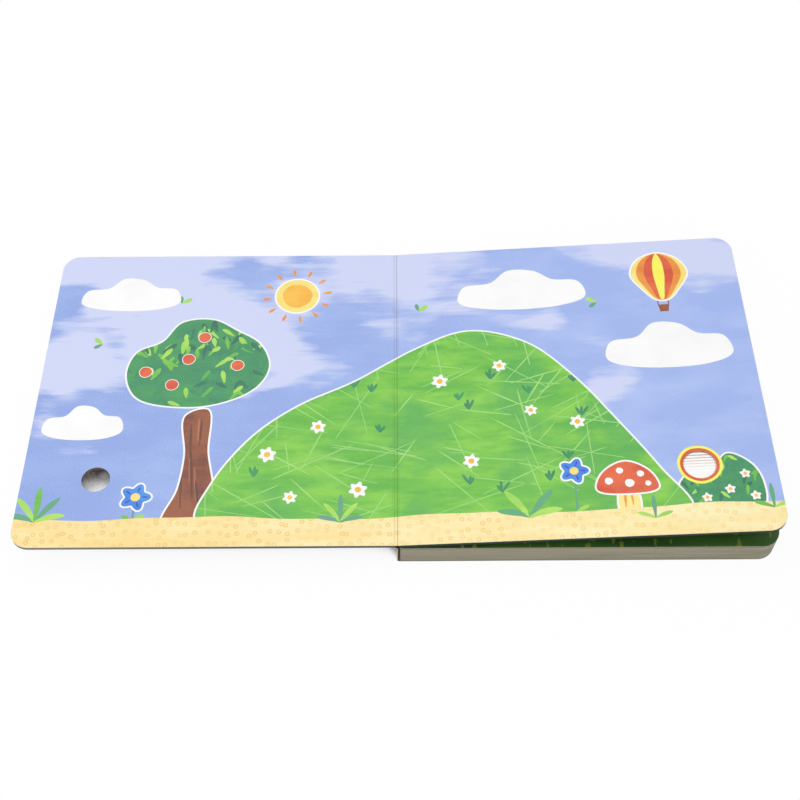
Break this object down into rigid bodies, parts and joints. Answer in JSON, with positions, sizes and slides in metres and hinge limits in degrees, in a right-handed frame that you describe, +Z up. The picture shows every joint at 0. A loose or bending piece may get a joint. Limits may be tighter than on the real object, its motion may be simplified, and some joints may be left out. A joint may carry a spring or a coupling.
{
  "type": "sound book",
  "caption": "Square board book lying open, with a finger hole in its front cover, a ribbed round sound button in the raised page and a sound unit in its thick back board.",
  "frame": {"origin": "on the table, under the gutter, half way along the spine", "axes": "+X from the gutter towards the block's outer edge, +Y away from the reader, +Z up"},
  "size_m": [0.3557, 0.178, 0.0278],
  "materials": {
    "leaf_board": "white coated board, cut edges a little yellow",
    "grey_board": "grey board, cut edge",
    "cover_sheet": "coated paper, plain print",
    "print_sky": "printed coated paper, satin",
    "print_sand": "printed coated paper, satin",
    "print_green": "printed coated paper, satin",
    "print_deep_green": "printed coated paper, satin",
    "print_white": "printed coated paper, satin",
    "print_brown": "printed coated paper, satin",
    "print_yellow": "printed coated paper, satin",
    "print_red": "printed coated paper, satin",
    "print_orange": "printed coated paper, satin",
    "print_blue": "printed coated paper, satin",
    "button_plastic": "white, ribbed, matt",
    "switch_film": "clear amber film with printed tracks",
    "case_plastic": "black moulded, fine texture",
    "steel": "bright plated steel",
    "magnet": "dark sintered",
    "cone_paper": "stiff pressed paper",
    "circuit_board": "green laminate",
    "chip_resin": "black resin",
    "wire_red": "soft insulation",
    "wire_black": "soft insulation"
  },
  "bodies": {
    "root": {"page_leaves": "leaf_board", "sound_board": "grey_board", "back_board": "grey_board", "cover_wrap": "cover_sheet", "next_page_print": "print_deep_green", "sand_right": "print_sand", "sky_right": "print_sky", "cloud_upper_right": "print_white", "cloud_outer_right": "print_white", "mushroom_cap": "print_red", "mushroom_stem": "print_yellow", "bloom_right": "print_blue", "hill_right": "print_green", "balloon": "print_orange", "balloon_basket": "print_brown", "bush": "print_deep_green", "button_ring_inner": "print_red", "button_ring_outer": "print_yellow", "switch_film": "switch_film", "unit_case": "case_plastic", "unit_lid": "case_plastic", "battery_door": "case_plastic", "door_screw": "steel", "lid_screw_left": "steel", "lid_screw_right": "steel", "button_cell_1": "steel", "button_cell_2": "steel", "button_cell_3": "steel", "contact_door_side": "steel", "contact_positive": "steel", "contact_lid_side": "steel", "contact_negative": "steel", "speaker_basket": "steel", "speaker_magnet": "magnet", "speaker_cone": "cone_paper", "circuit_board": "circuit_board", "chip_cover": "chip_resin", "resistor_1": "chip_resin", "resistor_2": "chip_resin", "speaker_wire_1": "wire_red", "speaker_wire_2": "wire_black", "cell_wire_positive": "wire_red", "cell_wire_negative": "wire_black", "switch_can": "steel"},
    "front_cover": {"front_cover": "leaf_board", "sand_left": "print_sand", "cloud_upper_left": "print_white", "cloud_middle_left": "print_white", "bloom_left": "print_blue", "hill_left": "print_green", "tree_trunk": "print_brown", "tree_crown": "print_deep_green", "sun": "print_yellow", "sky_left": "print_sky"},
    "button": {"button_cap": "button_plastic"},
    "power_switch": {"switch_knob": "case_plastic"}
  },
  "joints": [
    {"name": "cover_hinge", "type": "hinge", "parent": "root", "child": "front_cover", "pos_m": [0, 0, 0.01535], "axis": [0, 1, 0], "range_deg": [-4, 175.5]},
    {"name": "button_press", "type": "slide", "parent": "root", "child": "button", "axis": [0.071, 0, -0.9975], "range_m": [0, 0.00025], "stiffness_N_per_m": 4000, "springref_m": -0.0001},
    {"name": "power_slide", "type": "slide", "parent": "root", "child": "power_switch", "axis": [1, 0, 0], "range_m": [0, 0.0024]}
  ]
}
